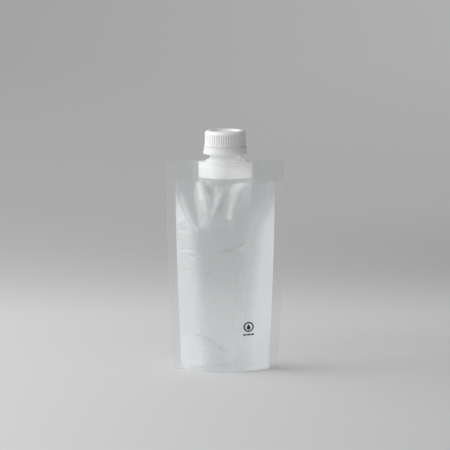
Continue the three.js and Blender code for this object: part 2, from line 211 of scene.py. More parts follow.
# Painted highlights: milky streaks where folds of the film would catch and mirror the light: path,
# added milk, and half breadth at its two ends
HIGHLIGHT_STREAKS = [
    (((-19.7, 133.7), (-17.3, 121.1), (-12.6, 103.0)), 0.18, (1.6, 4.8)),
    (((-19.6, 134.2), (-18.3, 127.5), (-17.0, 121.5)), 0.46, (1.1, 1.4)),
    (((1.4, 129.6), (-4.2, 123.6), (-8.4, 115.0)), 0.13, (1.8, 2.6)),
    (((12.1, 134.4), (7.2, 127.4), (4.4, 117.4), (2.8, 108.5)), 0.64, (3.8, 1.8)),
    (((3.0, 110.0), (4.4, 101.0)), 0.14, (2.6, 2.2)),
    (((-38.3, 133.0), (-24.3, 133.7)), 0.16, (1.6, 1.6)),
    (((-16.0, 99.0), (-9.0, 92.0)), 0.05, (8.0, 7.0)),
    (((-4.6, 127.5), (-4.0, 122.5)), 0.14, (2.6, 2.0)),
    (((-31.3, 107.2), (-31.3, 105.6)), 0.3, (1.7, 1.7)),
    (((10.0, 5.0), (16.0, 16.0)), 0.06, (5.0, 8.0)),
    (((-10.0, 6.0), (-13.0, 16.0)), 0.045, (4.0, 6.0)),
]

# Painted shade along sharp creases, for the dark lines that folds make by bending light away: path,
# strength of the shade, and half breadth at its two ends
CREASE_SHADE_LINES = [
    (((-15.2, 133.0), (-11.0, 125.8)), 0.1, (1.4, 2.4)),
    (((3.9, 128.6), (-1.2, 121.0), (-4.2, 113.0)), 0.07, (1.2, 2.0)),
    (((-5.0, 129.4), (2.0, 130.2)), 0.05, (0.9, 0.9)),
    (((-1.9, 84.7), (5.0, 86.2), (10.7, 89.0), (15.0, 91.2)), 0.065, (0.9, 0.9)),
    (((-30.5, 100.2), (-28.8, 101.2), (-26.6, 100.6)), 0.05, (0.6, 0.6)),
    (((-32.0, 85.6), (-22.0, 86.0)), 0.03, (0.6, 0.6)),
    (((-13.0, 68.0), (-10.5, 69.4), (-7.6, 67.6)), 0.05, (0.8, 0.6)),
    (((19.0, 84.4), (21.5, 83.6)), 0.04, (0.7, 0.7)),
    (((-29.4, 69.6), (-27.4, 68.8)), 0.04, (0.8, 0.8)),
    (((-24.4, 81.4), (-22.6, 82.0)), 0.04, (0.8, 0.8)),
]

# Fineness
FILM_COLUMNS = 150
FILM_ROWS = 220
SEAL_COLUMNS = 10
ROUND_STEPS = 192
GUSSET_COLUMNS = 120
GUSSET_SEAL_ROWS = 16
GUSSET_ARCH_ROWS = 60
GUSSET_EDGE_TRIES = 401
BOAT_STEPS = 160
SHOULDER_RINGS = 10
THREAD_STEPS = 72
THREAD_FADE_STEPS = 8
CORNER_STEPS = 4
CAP_SHOULDER_STEPS = 12
CAP_WALL_STEPS = 25
CAP_RIB_STEPS = 12
SLOPE_STEP = 0.05
TINY = 1e-9

# Mesh repair, in metres
MERGE_DISTANCE = 1e-7
LEAST_LENGTH = 1e-8

MIRROR_Y = np.array([1, -1, 1])


def smoothstep(value, low, high):
    share = np.clip((value - low) / (high - low), 0, 1)
    return share * share * (3 - 2 * share)


def lerp(a, b, share):
    return a + (b - a) * share


def full_turn(steps):
    """The angles of a closed ring's points."""
    return np.arange(steps) * 2 * np.pi / steps


# Film surfaces


def half_width(z):
    below = np.maximum(0, 1 - z / TOP_SEAL_BASE)
    return TOP_HALF_WIDTH - (TOP_HALF_WIDTH - BASE_HALF_WIDTH) * below**TAPER_POWER


def inner_half_width(z):
    return half_width(z) - SIDE_SEAL


def panel(x, z):
    """Depth of the web's middle panel: nearly flat, from a deep base to a shallow waist."""
    across = np.minimum(1, np.abs(x) / inner_half_width(z))
    waist = TOP_SEAL_BASE - SHOULDER_DROP / 2
    up = np.minimum(1, z / waist)
    middle = BASE_HALF_DEPTH - (BASE_HALF_DEPTH - WAIST_HALF_DEPTH) * up**TAPER_POWER
    return middle * (1 - PANEL_BULGE * across**2)


def flank(x, z):
    """Depth of the web's sloping flank beside a side seal."""
    return np.maximum(0, inner_half_width(z) - np.abs(x)) * FLANK_SLOPE


def soft_least(a, b):
    """The lesser of two depths, with the crease between them rounded."""
    blend = np.minimum(CREASE_ROUND, a + b) + TINY
    near = np.maximum(0, blend - np.abs(a - b)) / blend
    return np.minimum(a, b) - near**2 * blend / 4


def boat_depth(x):
    along = np.minimum(1, np.abs(x) / BOAT_HALF_LENGTH)
    return BOAT_TIP + (BOAT_HALF_DEPTH - BOAT_TIP) * np.cos(along * np.pi / 2)


def wrap(x):
    """Depth of the web where it lies round the boat, easing to nothing past the boat's tips."""
    past = np.maximum(0, np.abs(x) - BOAT_HALF_LENGTH) / TENT_REACH
    return (boat_depth(x) + SEAL_RIB + FILM_GAP) * (1 - smoothstep(past, 0, 1))


def segment_distance(x, z, start, end):
    """Distance from places to a segment, and how far along the segment the nearest point lies."""
    ax, az = start
    bx, bz = end
    length = (bx - ax) ** 2 + (bz - az) ** 2
    along = np.clip(((x - ax) * (bx - ax) + (z - az) * (bz - az)) / length, 0, 1)
    return np.hypot(x - ax - along * (bx - ax), z - az - along * (bz - az)), along


def shown_folds(x, z):
    """How far the folds show: they fade out towards the side seals and the boat."""
    edge = inner_half_width(z) - np.abs(x)
    return smoothstep(edge, 0, SIDE_SEAL) * (1 - smoothstep(z, BOAT_BASE - SIDE_SEAL, BOAT_BASE))


def relief(x, z):
    height = 0
    for start, end, rise, breadth in FRONT_FOLDS + FINE_FOLDS:
        ends = [(across * TOP_HALF_WIDTH, up * POUCH_HEIGHT) for across, up in (start, end)]
        away, along = segment_distance(x, z, *ends)
        height = height + rise * (1 - FOLD_TAPER * along**2) * np.exp(-((away / breadth) ** 2))
    return height * shown_folds(x, z)


def middle_depth(x, z):
    """Depth of the web between its flanks, which closes round the boat towards the top seal."""
    drawn = smoothstep(z, TOP_SEAL_BASE - SHOULDER_DROP, TOP_SEAL_BASE)
    return lerp(panel(x, z), wrap(x), drawn)


def depth(x, z, folded):
    plain = soft_least(middle_depth(x, z), flank(x, z))
    if not folded:
        return plain
    return np.where(plain > 0, np.maximum(0, plain + relief(x, z)), plain)


def film_points(x, z, offset, folded):
    """Points on the front web in millimetres, moved level along the normal by offset."""
    flat = np.abs(x) >= inner_half_width(z) - SLOPE_STEP
    rise = depth(x + SLOPE_STEP, z, folded) - depth(x - SLOPE_STEP, z, folded)
    slope = np.where(flat, 0, rise / (2 * SLOPE_STEP))
    length = np.hypot(slope, 1)
    y = -depth(x, z, folded)
    return np.stack([x - offset * slope / length, y - offset / length, z + 0 * x], axis=-1)


def film_places():
    """Grids of x and z over a web, with columns of their own in the side seals."""
    z = np.linspace(0, POUCH_HEIGHT, FILM_ROWS + 1)[:, None]
    seal = np.linspace(0, 1, SEAL_COLUMNS + 1)[None, 1:]
    between = np.linspace(-1, 1, FILM_COLUMNS + 1)[None, :]
    inner = inner_half_width(z)
    right = inner + seal * SIDE_SEAL
    x = np.concatenate([-right[:, ::-1], between * inner, right], axis=1)
    return x, np.broadcast_to(z, x.shape)


# Meshes


def new_object(name, points, faces, smooth=True):
    mesh = bpy.data.meshes.new(name)
    mesh.from_pydata((np.asarray(points) * MM).tolist(), [], faces)
    mesh.polygons.foreach_set("use_smooth", [smooth] * len(mesh.polygons))
    mesh.update()
    piece = bpy.data.objects.new(name, mesh)
    bpy.context.scene.collection.objects.link(piece)
    return piece


def grid_quads(rows, columns):
    row, column = np.meshgrid(np.arange(rows - 1), np.arange(columns - 1), indexing="ij")
    a = (row * columns + column).ravel()
    return np.stack([a, a + 1, a + columns + 1, a + columns], axis=1)


def closed_sheet(name, outer, inner):
    """A closed sheet between two like grids of points, each rows by columns by 3."""
    rows, columns = outer.shape[:2]
    count = rows * columns
    quads = grid_quads(rows, columns)
    border = [(0, column) for column in range(columns - 1)]
    border += [(row, columns - 1) for row in range(rows - 1)]
    border += [(rows - 1, column) for column in range(columns - 1, 0, -1)]
    border += [(row, 0) for row in range(rows - 1, 0, -1)]
    ring = np.array([row * columns + column for row, column in border])
    following = np.roll(ring, -1)
    edge = np.stack([following, ring, ring + count, following + count], axis=1)
    faces = np.concatenate([quads, quads[:, ::-1] + count, edge])
    points = np.concatenate([outer.reshape(-1, 3), inner.reshape(-1, 3)])
    return new_object(name, points, faces.tolist())


def sheet_attribute(piece, name, values):
    """Gives the points of a sheet's two faces the same values."""
    layer = piece.data.attributes.new(name, "FLOAT", "POINT")
    layer.data.foreach_set("value", np.tile(np.ravel(values), 2).astype(np.float32))


def lathe(name, profile, steps=ROUND_STEPS, reach=None):
    """A body turned about Z from a closed profile of (radius, height) points.

    reach(radius, height, angle) may move a point's radius.
    """
    angle = full_turn(steps)
    profile = np.array(profile, dtype=float)
    radius = np.repeat(profile[:, :1], steps, axis=1)
    height = np.repeat(profile[:, 1:], steps, axis=1)
    if reach is not None:
        radius = reach(radius, height, angle[None, :])
    points = np.stack([radius * np.cos(angle), radius * np.sin(angle), height], axis=-1)
    count = len(profile)
    lower, left = np.meshgrid(np.arange(count), np.arange(steps), indexing="ij")
    upper, right = (lower + 1) % count, (left + 1) % steps
    corners = [(lower, left), (lower, right), (upper, right), (upper, left)]
    faces = np.stack([row * steps + column for row, column in corners], axis=-1).reshape(-1, 4)
    piece = new_object(name, points.reshape(-1, 3), faces.tolist())
    tidy(piece)
    return piece


def tidy(piece):
    """Merges doubled points, drops faces without area and turns the normals out."""
    shape = bmesh.new()
    shape.from_mesh(piece.data)
    bmesh.ops.remove_doubles(shape, verts=shape.verts, dist=MERGE_DISTANCE)
    bmesh.ops.dissolve_degenerate(shape, dist=LEAST_LENGTH, edges=shape.edges)
    bmesh.ops.recalc_face_normals(shape, faces=shape.faces)
    shape.to_mesh(piece.data)
    shape.free()


def ring_quads(levels, count):
    """Faces between neighbouring rings, each a closed row of count points."""
    faces = []
    for level in range(levels - 1):
        for index in range(count):
            a, b = level * count + index, level * count + (index + 1) % count
            faces.append([a, b, b + count, a + count])
    return faces


def loft(name, rings):
    """A closed body through rings of points, from the lowest to the highest."""
    rings = np.array(rings)
    levels, count = rings.shape[:2]
    faces = ring_quads(levels, count)
    faces.append(list(range(count))[::-1])
    faces.append([(levels - 1) * count + index for index in range(count)])
    piece = new_object(name, rings.reshape(-1, 3), faces)
    tidy(piece)
    return piece


def combine(piece, other, operation):
    """Joins or cuts a piece with another, which is then gone."""
    modifier = piece.modifiers.new("combine", "BOOLEAN")
    modifier.operation = operation
    modifier.solver = "EXACT"
    modifier.object = other
    deps = bpy.context.evaluated_depsgraph_get()
    mesh = bpy.data.meshes.new_from_object(piece.evaluated_get(deps))
    piece.modifiers.clear()
    old = piece.data
    piece.data = mesh
    bpy.data.meshes.remove(old)
    bpy.data.objects.remove(other)


def smooth_by_angle(piece, degrees):
    piece.data.polygons.foreach_set("use_smooth", [True] * len(piece.data.polygons))
    piece.data.set_sharp_from_angle(angle=math.radians(degrees))


# Materials

# Clear film: its haze, what passes straight through, and what it scatters and mirrors
FILM_HAZE = 0.078
HAZE_CLOUD = 0.03
CLOUD_SCALE = 60.0
CLOUD_DETAIL = 3.0
LEAST_FACING = 0.15
FORWARD_SHARE = 0.55
CLEAR_TINT = (0.992, 0.995, 0.998)
SCATTER_COLOUR = (0.966, 0.973, 0.975, 1)
THROUGH_COLOUR = (0.971, 0.978, 0.98, 1)
THROUGH_SHARE = 0.73
MIRROR_FACE = 0.022
MIRROR_EDGE = 0.4
MIRROR_POWER = 5.0
GLOSS_COLOUR = (1, 1, 1, 1)
GLOSS_ROUGHNESS = 0.2
PEEL_SCALE = 350.0
PEEL_DEPTH = 0.00003

# Milkiness of the film's places, partly painted light, and painted shade on the right of the top
# seal
# Partly the haze of the slanting film, partly painted light for its reflections and for light
# through it
FLANK_HAZE_AND_LIGHT = 0.23
LEFT_FLANK_LIGHT_SHARE = 0.75
TAIL_MILK = 0.03
# Painted light: haze on the left side seal only, the side the lamps light
LEFT_SEAL_LIGHT = 0.06
FOOT_CLEAR = 0.09
# Painted shade: the top seal darkens towards its right end, the side away from the lamps
SEAL_PAINTED_SHADE = 0.028
RIM_MILK = 0.03
# Painted light: extra haze on the gusset's bonded sides, more on the shaded right
GUSSET_LEFT_LIGHT = 0.04
GUSSET_RIGHT_LIGHT = 0.1

# Where they set in: in millimetres, but on the gusset in shares of the half width
SIDE_SEAL_EDGE = 0.4
TOP_SEAL_EDGE = 0.5
FRONT_LEFT_START = -8.0
FRONT_RIGHT_START = -12.0
FRONT_MILK_SPAN = 9.0
BACK_MILK_START = -1.0
BACK_MILK_SPAN = 5.0
TAIL_BOUNDS = (-22.0, -4.0)
FOOT_BOUNDS = (25, 85)
SEAL_SHADE_BOUNDS = (18.0, 22.0)
GUSSET_SIDE_BOUNDS = (0.45, 0.7)

# Mouldings
BLEED_BY_COLOUR = (1.0, 0.9, 0.8)
MOULDING_IOR = 1.49
SATIN_SCALE = 45.0
SATIN_DETAIL = 3.0
SATIN_CHANGE = 0.1
GRAIN_SCALE = 900.0
GRAIN_DEPTH = 0.00002
THROUGH_OF_PASSING = 0.6

# Ink
INK_COLOUR = (0.012, 0.012, 0.013, 1)
INK_IOR = 1.45
INK_SPECK_SCALE = 1500.0
INK_ROUGHNESS = 0.3
INK_ROUGHNESS_CHANGE = 0.15


def new_material(name):
    material = bpy.data.materials.new(name)
    material.use_nodes = True
    tree = material.node_tree
    tree.nodes.clear()
    out = tree.nodes.new("ShaderNodeOutputMaterial")
    return material, tree, out.inputs["Surface"]


def feed(tree, socket, value):
    """Links a node's output to a socket, or sets the socket to a constant."""
    if isinstance(value, bpy.types.NodeSocket):
        tree.links.new(value, socket)
    else:
        socket.default_value = value


def node(tree, kind, inputs=None, **settings):
    """A node of a kind, with its inputs fed by name or number and its settings made."""
    made = tree.nodes.new(kind)
    for key, value in settings.items():
        setattr(made, key, value)
    for socket, value in (inputs or {}).items():
        feed(tree, made.inputs[socket], value)
    return made


def math_node(tree, operation, *values):
    return node(tree, "ShaderNodeMath", dict(enumerate(values)), operation=operation).outputs[0]


def mix_shader(tree, *values):
    """Mixes two shaders, given the second one's share, the first and the second."""
    return node(tree, "ShaderNodeMixShader", dict(enumerate(values))).outputs[0]


def map_range(tree, value, source, target=(0.0, 1.0), **settings):
    bounds = zip(("From Min", "From Max", "To Min", "To Max"), source + target)
    return node(tree, "ShaderNodeMapRange", {"Value": value, **dict(bounds)}, **settings).outputs[0]


def noise(tree, scale, detail=2.0):
    place = node(tree, "ShaderNodeTexCoord").outputs["Object"]
    inputs = {"Vector": place, "Scale": scale, "Detail": detail}
    return node(tree, "ShaderNodeTexNoise", inputs).outputs["Fac"]


def bump(tree, height, distance):
    return node(tree, "ShaderNodeBump", {"Distance": distance, "Height": height}).outputs[0]


def film_haze(tree, facing):
    """How much a face scatters: more where milky or seen at a slant, less of the lamps' rays."""
    # This attribute holds the film's own haze and also painted light: highlight streaks, milkier
    # flanks, the left seal and the gusset's sides
    haze_and_light = node(tree, "ShaderNodeAttribute", attribute_name="haze_and_light").outputs["Fac"]
    cloud = noise(tree, CLOUD_SCALE, CLOUD_DETAIL)
    haze = math_node(tree, "MULTIPLY_ADD", cloud, HAZE_CLOUD, FILM_HAZE - HAZE_CLOUD / 2)
    haze = math_node(tree, "ADD", haze, haze_and_light)
    square = math_node(tree, "SUBTRACT", 1.0, facing)
    path = math_node(tree, "POWER", math_node(tree, "MAXIMUM", square, LEAST_FACING), -1.0)
    shadow = node(tree, "ShaderNodeLightPath").outputs["Is Shadow Ray"]
    forward = math_node(tree, "MULTIPLY_ADD", shadow, FORWARD_SHARE - 1, 1.0)
    haze = math_node(tree, "MULTIPLY", haze, forward)
    kept = math_node(tree, "POWER", math_node(tree, "SUBTRACT", 1.0, haze), path)
    return math_node(tree, "SUBTRACT", 1.0, kept)


def film_material():
    """Thin milky film: each face lets light through, scatters some of it and mirrors a little."""
    material, tree, surface = new_material("clear_film")
    facing = node(tree, "ShaderNodeLayerWeight", {"Blend": 0.5}).outputs["Facing"]
    # This attribute is painted shade: it darkens what passes straight through, along sharp creases
    # and at the right end of the top seal
    painted_shade = node(tree, "ShaderNodeAttribute", attribute_name="painted_shade").outputs["Fac"]
    passed = [math_node(tree, "SUBTRACT", channel, painted_shade) for channel in CLEAR_TINT]
    tint = node(tree, "ShaderNodeCombineColor", dict(enumerate(passed))).outputs[0]
    clear = node(tree, "ShaderNodeBsdfTransparent", {"Color": tint})
    scatter = node(tree, "ShaderNodeBsdfDiffuse", {"Color": SCATTER_COLOUR})
    through = node(tree, "ShaderNodeBsdfTranslucent", {"Color": THROUGH_COLOUR})
    milky = mix_shader(tree, THROUGH_SHARE, scatter.outputs[0], through.outputs[0])
    body = mix_shader(tree, film_haze(tree, facing), clear.outputs[0], milky)
    peel = bump(tree, noise(tree, PEEL_SCALE), PEEL_DEPTH)
    inputs = {"Color": GLOSS_COLOUR, "Roughness": GLOSS_ROUGHNESS, "Normal": peel}
    gloss = node(tree, "ShaderNodeBsdfGlossy", inputs)
    steep = math_node(tree, "POWER", facing, MIRROR_POWER)
    mirror = math_node(tree, "MULTIPLY_ADD", steep, MIRROR_EDGE, MIRROR_FACE)
    feed(tree, surface, mix_shader(tree, mirror, body, gloss.outputs[0]))
    return material


def moulding_material(name, colour, roughness, translucency, bleed, passing=0.0):
    """Satin moulded plastic that glows under its surface, and passes light on where it is thin."""
    material, tree, surface = new_material(name)
    satin = noise(tree, SATIN_SCALE, SATIN_DETAIL)
    least = roughness - SATIN_CHANGE / 2
    inputs = {
        "Base Color": (*colour, 1),
        "Roughness": math_node(tree, "MULTIPLY_ADD", satin, SATIN_CHANGE, least),
        "IOR": MOULDING_IOR,
        "Normal": bump(tree, noise(tree, GRAIN_SCALE), GRAIN_DEPTH),
        "Subsurface Weight": translucency,
        "Subsurface Radius": BLEED_BY_COLOUR,
        "Subsurface Scale": bleed,
    }
    shown = node(tree, "ShaderNodeBsdfPrincipled", inputs).outputs[0]
    if passing:
        through = node(tree, "ShaderNodeBsdfTranslucent", {"Color": (*colour, 1)})
        shown = mix_shader(tree, THROUGH_OF_PASSING * passing, shown, through.outputs[0])
        shadow = node(tree, "ShaderNodeLightPath").outputs["Is Shadow Ray"]
        share = math_node(tree, "MULTIPLY", shadow, passing)
        clear = node(tree, "ShaderNodeBsdfTransparent")
        shown = mix_shader(tree, share, shown, clear.outputs[0])
    feed(tree, surface, shown)
    return material


def ink_material():
    material, tree, surface = new_material("black_print")
    speck = noise(tree, INK_SPECK_SCALE)
    rough = math_node(tree, "MULTIPLY_ADD", speck, INK_ROUGHNESS_CHANGE, INK_ROUGHNESS)
    inputs = {"Base Color": INK_COLOUR, "IOR": INK_IOR, "Roughness": rough}
    feed(tree, surface, node(tree, "ShaderNodeBsdfPrincipled", inputs).outputs[0])
    return material


# Pieces


def finish(piece, body, slot, material, *nodes):
    piece.data.materials.clear()
    piece.data.materials.append(material)
    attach(piece, body)
    if nodes:
        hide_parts(*nodes)


def marks(x, z, paths):
    """Sum of soft lines along paths of points, each with its strength and half breadths."""
    total = 0
    for path, most, breadths in paths:
        steps = len(path) - 1
        line = 0
        for index in range(steps):
            away, along = segment_distance(x, z, path[index], path[index + 1])
            breadth = lerp(*breadths, (index + along) / steps)
            line = np.maximum(line, np.exp(-((away / breadth) ** 2)))
        total = total + most * line
    return total


def in_top_seal(z):
    return smoothstep(z, TOP_SEAL_BASE - TOP_SEAL_EDGE, TOP_SEAL_BASE + TOP_SEAL_EDGE)


def film_haze_and_light(x, z, front):
    """Extra haze of a web, partly painted light: milkier flanks, more on the shaded right than the
    lit left, and in front also a milkier left seal, a clearer foot and streaks that paint the
    highlights of folds.
    """
    side = smoothstep(np.abs(x) - inner_half_width(z), -SIDE_SEAL_EDGE, SIDE_SEAL_EDGE)
    top = in_top_seal(z)
    past_crease = middle_depth(x, z) - flank(x, z)
    start, span = BACK_MILK_START, BACK_MILK_SPAN
    if front:
        start, span = np.where(x > 0, FRONT_RIGHT_START, FRONT_LEFT_START), FRONT_MILK_SPAN
    steep = smoothstep(past_crease, start, start + span)
    # Painted light in part: the shaded right flank gets more milk than the lit left one
    most = np.where(x > 0, FLANK_HAZE_AND_LIGHT, LEFT_FLANK_LIGHT_SHARE * FLANK_HAZE_AND_LIGHT)
    flanks = most * steep * (1 - side) * (1 - top)
    if not front:
        return flanks
    tail = TAIL_MILK * smoothstep(past_crease, *TAIL_BOUNDS) * (1 - side) * (1 - top)
    # Painted light on the left side seal; the film near the foot is made clearer
    seal_light_and_clear_foot = np.where(x < 0, LEFT_SEAL_LIGHT, 0) * side * (1 - top)
    seal_light_and_clear_foot = seal_light_and_clear_foot - FOOT_CLEAR * (1 - smoothstep(z, *FOOT_BOUNDS)) * (1 - side)
    shown = 1 - top * (np.abs(x) < BOAT_HALF_LENGTH + TENT_REACH)
    # The streaks are painted highlights of the folds
    return flanks + tail + seal_light_and_clear_foot + marks(x, z, HIGHLIGHT_STREAKS) * shown


def web(name, front):
    x, z = film_places()
    grids = [film_points(x, z, offset, front) for offset in (FILM_THICKNESS, 0)]
    haze_and_light = film_haze_and_light(x, z, front)
    if not front:
        grids = [(grid * MIRROR_Y)[:, ::-1] for grid in grids]
        haze_and_light = haze_and_light[:, ::-1]
    piece = closed_sheet(name, *grids)
    sheet_attribute(piece, "haze_and_light", haze_and_light)
    if front:
        # Painted shade on the front web: dark lines along sharp creases and a darker right end of
        # the top seal
        seal_shade = SEAL_PAINTED_SHADE * in_top_seal(z) * smoothstep(x, *SEAL_SHADE_BOUNDS)
        sheet_attribute(piece, "painted_shade", marks(x, z, CREASE_SHADE_LINES) + seal_shade)
    return piece


def gusset_seal_top(share):
    """Height of the rim seal at a share of the half width: low in the middle, high at the sides."""
    least, most = GUSSET_ROUNDING, math.hypot(1, GUSSET_ROUNDING)
    up = (np.hypot(share, least) - least) / (most - least)
    return RIM_SEAL + (GUSSET_SIDE_HEIGHT - RIM_SEAL) * up**GUSSET_RISE_POWER


def gusset_column(share, offset):
    """Points over the gusset from front to back: up the rim seal, over the arch and down again."""
    seal = gusset_seal_top(share)
    z = np.linspace(0, seal, GUSSET_SEAL_ROWS + 1)
    front = film_points(share * inner_half_width(z), z, -FILM_GAP - offset, False)
    top = front[-1]
    reach = -top[1]
    middle = -film_points(np.zeros(1), np.array([seal]), -FILM_GAP, False)[0][1]
    arch = GUSSET_ARCH * (reach + offset) / middle - offset
    turn = (np.linspace(0, 1, GUSSET_ARCH_ROWS + 1)[1:-1] - 0.5) * np.pi
    over = np.stack([top[0] + 0 * turn, reach * np.sin(turn), seal + arch * np.cos(turn)], axis=-1)
    return np.concatenate([front, over, (front * MIRROR_Y)[::-1]])


def gusset():
    least = FILM_GAP + 3 * FILM_THICKNESS
    tries = np.linspace(0, 1, GUSSET_EDGE_TRIES)
    wide = depth(tries * inner_half_width(0), np.zeros(GUSSET_EDGE_TRIES), False) > least
    edge = tries[wide][-1]
    places = np.linspace(-edge, edge, GUSSET_COLUMNS + 1)
    outer, inner = (
        np.array([gusset_column(share, offset) for share in places])
        for offset in (0, FILM_THICKNESS)
    )
    piece = closed_sheet("gusset_web", outer, inner)
    row = np.arange(outer.shape[1])
    bonded = (row <= GUSSET_SEAL_ROWS) | (row >= row[-1] - GUSSET_SEAL_ROWS)
    # Painted light: the bonded sides get extra milk, more on the right than the left
    most = np.where(places < 0, GUSSET_LEFT_LIGHT, GUSSET_RIGHT_LIGHT)
    sides = smoothstep(np.abs(places), *GUSSET_SIDE_BOUNDS) * most
    sheet_attribute(piece, "haze_and_light", np.where(bonded[None, :], RIM_MILK + sides[:, None], 0.0))
    return piece


def boat_ring(z, margin):
    """The boat's outline at a level, a margin outside its plain form."""
    turn = full_turn(BOAT_STEPS)
    x = BOAT_HALF_LENGTH * np.cos(turn)
    side = np.sign(np.round(np.sin(turn), decimals=6))
    tip = BOAT_TIP * (1 - np.sqrt(np.abs(np.sin(turn))))
    y = side * (boat_depth(x) - tip)
    return np.stack([x + margin * np.cos(turn), y + margin * np.sin(turn), z + 0 * x], axis=-1)


def oval_ring(z, half_length, half_depth):
    turn = full_turn(BOAT_STEPS)
    return np.stack([half_length * np.cos(turn), half_depth * np.sin(turn), z + 0 * turn], axis=-1)


def boat():
    rings = [boat_ring(BOAT_BASE, -BOAT_CHAMFER), boat_ring(BOAT_BASE + BOAT_CHAMFER, 0)]
    for place in (2, 1):
        middle = BOAT_TOP - place * SEAL_RIB_PITCH + SEAL_RIB_HEIGHT
        rings.append(boat_ring(middle - SEAL_RIB_HEIGHT, 0))
        rings.append(boat_ring(middle - SEAL_RIB_HEIGHT / 3, SEAL_RIB))
        rings.append(boat_ring(middle + SEAL_RIB_HEIGHT / 3, SEAL_RIB))
        rings.append(boat_ring(middle + SEAL_RIB_HEIGHT, 0))
    rings.append(boat_ring(BOAT_TOP - BOAT_CHAMFER / 2, 0))
    rings.append(boat_ring(BOAT_TOP, -BOAT_CHAMFER / 2))
    return loft("spout_moulding", rings)


def shoulder():
    foot_depth = BOAT_HALF_DEPTH - BOAT_CHAMFER
    rings = [
        oval_ring(BOAT_TOP - UNION_SINK, SHOULDER_HALF_LENGTH, foot_depth),
        oval_ring(BOAT_TOP + SHOULDER_STEP - SHOULDER_EDGE, SHOULDER_HALF_LENGTH, foot_depth),
    ]
    for share in np.linspace(SHOULDER_START, 1, SHOULDER_RINGS):
        flare = (1 - share) ** SHOULDER_FLARE
        half_length = lerp(NECK_RADIUS, SHOULDER_HALF_LENGTH, flare)
        half_depth = lerp(NECK_RADIUS, foot_depth, flare)
        level = BOAT_TOP + lerp(SHOULDER_STEP, SHOULDER_HEIGHT, share)
        rings.append(oval_ring(level, half_length, half_depth))
    return loft("shoulder", rings)


def neck():
    slope = BEAD_HEIGHT / 3
    return lathe(
        "neck",
        [
            (0, BOAT_TOP - BOAT_CHAMFER),
            (NECK_RADIUS, BOAT_TOP - BOAT_CHAMFER),
            (NECK_RADIUS, BEAD_BASE),
            (BEAD_RADIUS - slope, BEAD_BASE),
            (BEAD_RADIUS, BEAD_BASE + slope),
            (NECK_RADIUS, BEAD_BASE + BEAD_HEIGHT),
            (NECK_RADIUS, MOUTH - slope),
            (NECK_RADIUS - slope, MOUTH),
            (0, MOUTH),
        ],
    )


def rod(name, radius, low, high):
    return lathe(name, [(0, low), (radius, low), (radius, high), (0, high)])


def thread_start(root, crest_radius, first, last, phase, lift):
    """One start of a thread as a closed body that sinks into its wall."""
    inward = math.copysign(1, root - crest_radius)
    count = int((last - first) * THREAD_STEPS)
    rings = []
    for index in range(count + 1):
        share = index / count
        turns = first + (last - first) * share
        fade = min(1, min(share, 1 - share) * count / THREAD_FADE_STEPS)
        crest = lerp(root + inward * THREAD_FOOT, crest_radius, fade)
        level = CAP_BASE + THREAD_RISE + lift + turns * THREAD_LEAD
        angle = turns * 2 * math.pi + phase
        section = [
            (root + inward * UNION_SINK, -THREAD_ROOT / 2),
            (crest, -THREAD_CREST / 2),
            (crest, THREAD_CREST / 2),
            (root + inward * UNION_SINK, THREAD_ROOT / 2),
        ]
        rings.append([(r * math.cos(angle), r * math.sin(angle), level + up) for r, up in section])
    return loft("thread", rings)


def add_thread(piece, root, crest_radius, first, last, lift):
    for start in range(THREAD_STARTS):
        phase = start * 2 * math.pi / THREAD_STARTS
        combine(piece, thread_start(root, crest_radius, first, last, phase, lift), "UNION")


def boat_pockets():
    """What is cut out of the boat from below, beside its tube and its middle rib."""
    levels = (BOAT_BASE - CUT_OVERRUN, BOAT_TOP - BOAT_WALL)
    hollow = loft("pocket", [boat_ring(level, -BOAT_WALL) for level in levels])
    low = BOAT_BASE - 2 * CUT_OVERRUN
    combine(hollow, rod("tube", NECK_RADIUS, low, BOAT_TOP), "DIFFERENCE")
    half = BOAT_WALL / 2
    long = BOAT_HALF_LENGTH
    corners = [(-long, -half), (long, -half), (long, half), (-long, half)]
    rib = loft("rib", [[(x, y, z) for x, y in corners] for z in (low, BOAT_TOP)])
    combine(hollow, rib, "DIFFERENCE")
    return hollow


def spout():
    body = boat()
    combine(body, shoulder(), "UNION")
    combine(body, neck(), "UNION")
    add_thread(body, NECK_RADIUS, NECK_THREAD_RADIUS, 0, THREAD_TURNS, 0)
    bore = rod("bore", BORE_RADIUS, BOAT_BASE - CUT_OVERRUN, MOUTH + CUT_OVERRUN)
    combine(body, bore, "DIFFERENCE")
    combine(body, boat_pockets(), "DIFFERENCE")
    smooth_by_angle(body, degrees=32)
    return body


def rounded(profile, radius):
    """A closed profile with each corner off the axis rounded by an arc-like curve."""
    most_of_side, nothing = 0.45, 1e-6
    points = [np.array(point, dtype=float) for point in profile]
    out = []
    for index, point in enumerate(points):
        back = points[index - 1] - point
        on = points[(index + 1) % len(points)] - point
        shortest = min(np.linalg.norm(back), np.linalg.norm(on))
        reach = min(radius, most_of_side * shortest)
        if point[0] < nothing or reach < nothing:
            out.append(point)
            continue
        start = point + back / np.linalg.norm(back) * reach
        end = point + on / np.linalg.norm(on) * reach
        for share in np.linspace(0, 1, CORNER_STEPS + 1):
            out.append((1 - share) ** 2 * start + 2 * share * (1 - share) * point + share**2 * end)
    return out


